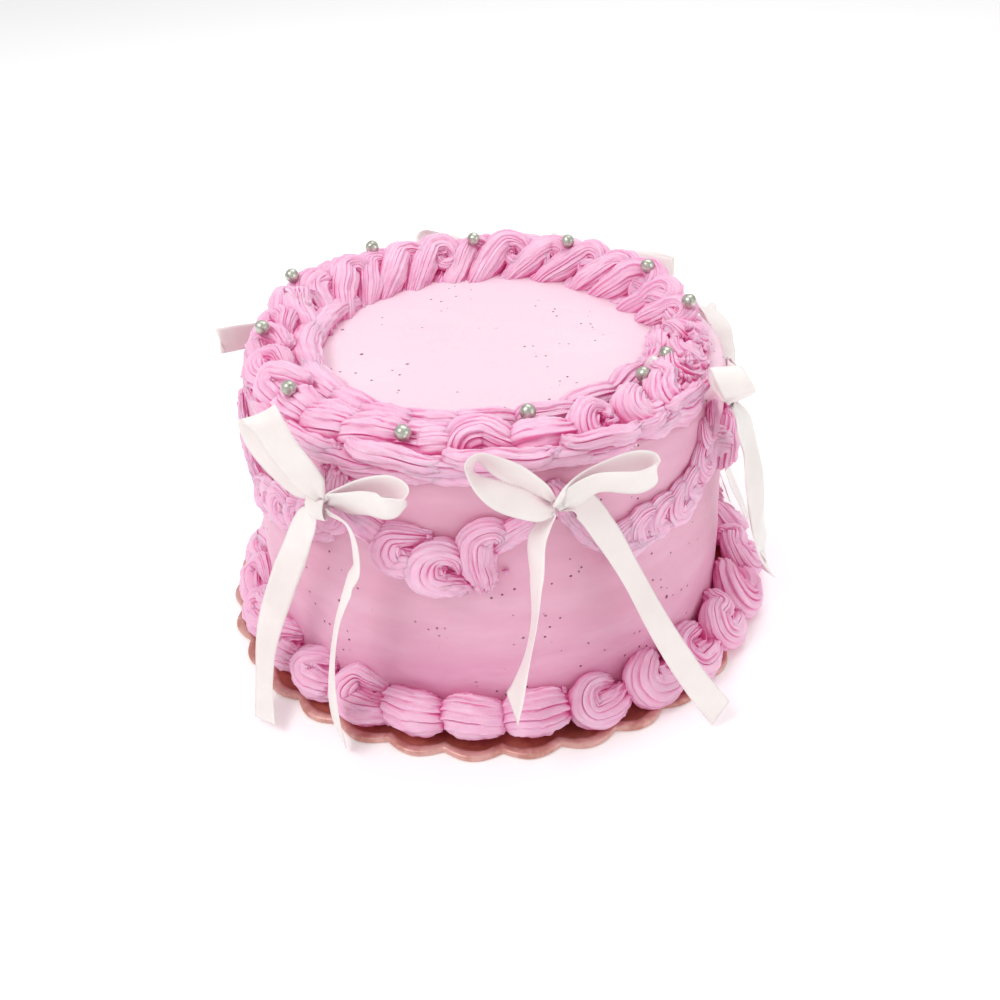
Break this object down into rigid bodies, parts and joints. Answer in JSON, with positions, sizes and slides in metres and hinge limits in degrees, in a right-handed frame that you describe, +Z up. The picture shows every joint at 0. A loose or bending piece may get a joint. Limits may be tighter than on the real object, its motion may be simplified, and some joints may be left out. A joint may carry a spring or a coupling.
{
  "type": "ribbon cake",
  "caption": "Round iced cake with piped shell borders, swags, silver dragees and ribbon bows on a thin scalloped cake card.",
  "frame": {"origin": "on the cake's axis, at the underside of the cake card", "axes": "+Z up along the cake's axis, -Y towards the front as pictured, +X to the right"},
  "size_m": [0.2086, 0.2229, 0.1227],
  "materials": {
    "icing": "smoothed buttercream, satin",
    "piping": "piped buttercream, soft sheen",
    "card": "copper-coloured foil on card",
    "ribbon": "white satin ribbon",
    "dragee": "silvered sugar"
  },
  "bodies": {
    "root": {"cake_card": "card", "cake": "icing", "base_border": "piping", "rim_ruffle": "piping", "inner_border": "piping", "top_border": "piping", "swag_1": "piping", "swag_2": "piping", "swag_3": "piping", "swag_4": "piping", "swag_5": "piping", "swag_6": "piping", "swag_7": "piping", "swag_8": "piping", "bow_1": "ribbon", "bow_2": "ribbon", "bow_3": "ribbon", "bow_4": "ribbon", "bow_5": "ribbon", "bow_6": "ribbon", "bow_7": "ribbon", "dragee_1": "dragee", "dragee_2": "dragee", "dragee_3": "dragee", "dragee_4": "dragee", "dragee_5": "dragee", "dragee_6": "dragee", "dragee_7": "dragee", "dragee_8": "dragee", "dragee_9": "dragee", "dragee_10": "dragee", "dragee_11": "dragee", "dragee_12": "dragee", "dragee_13": "dragee"}
  },
  "joints": []
}
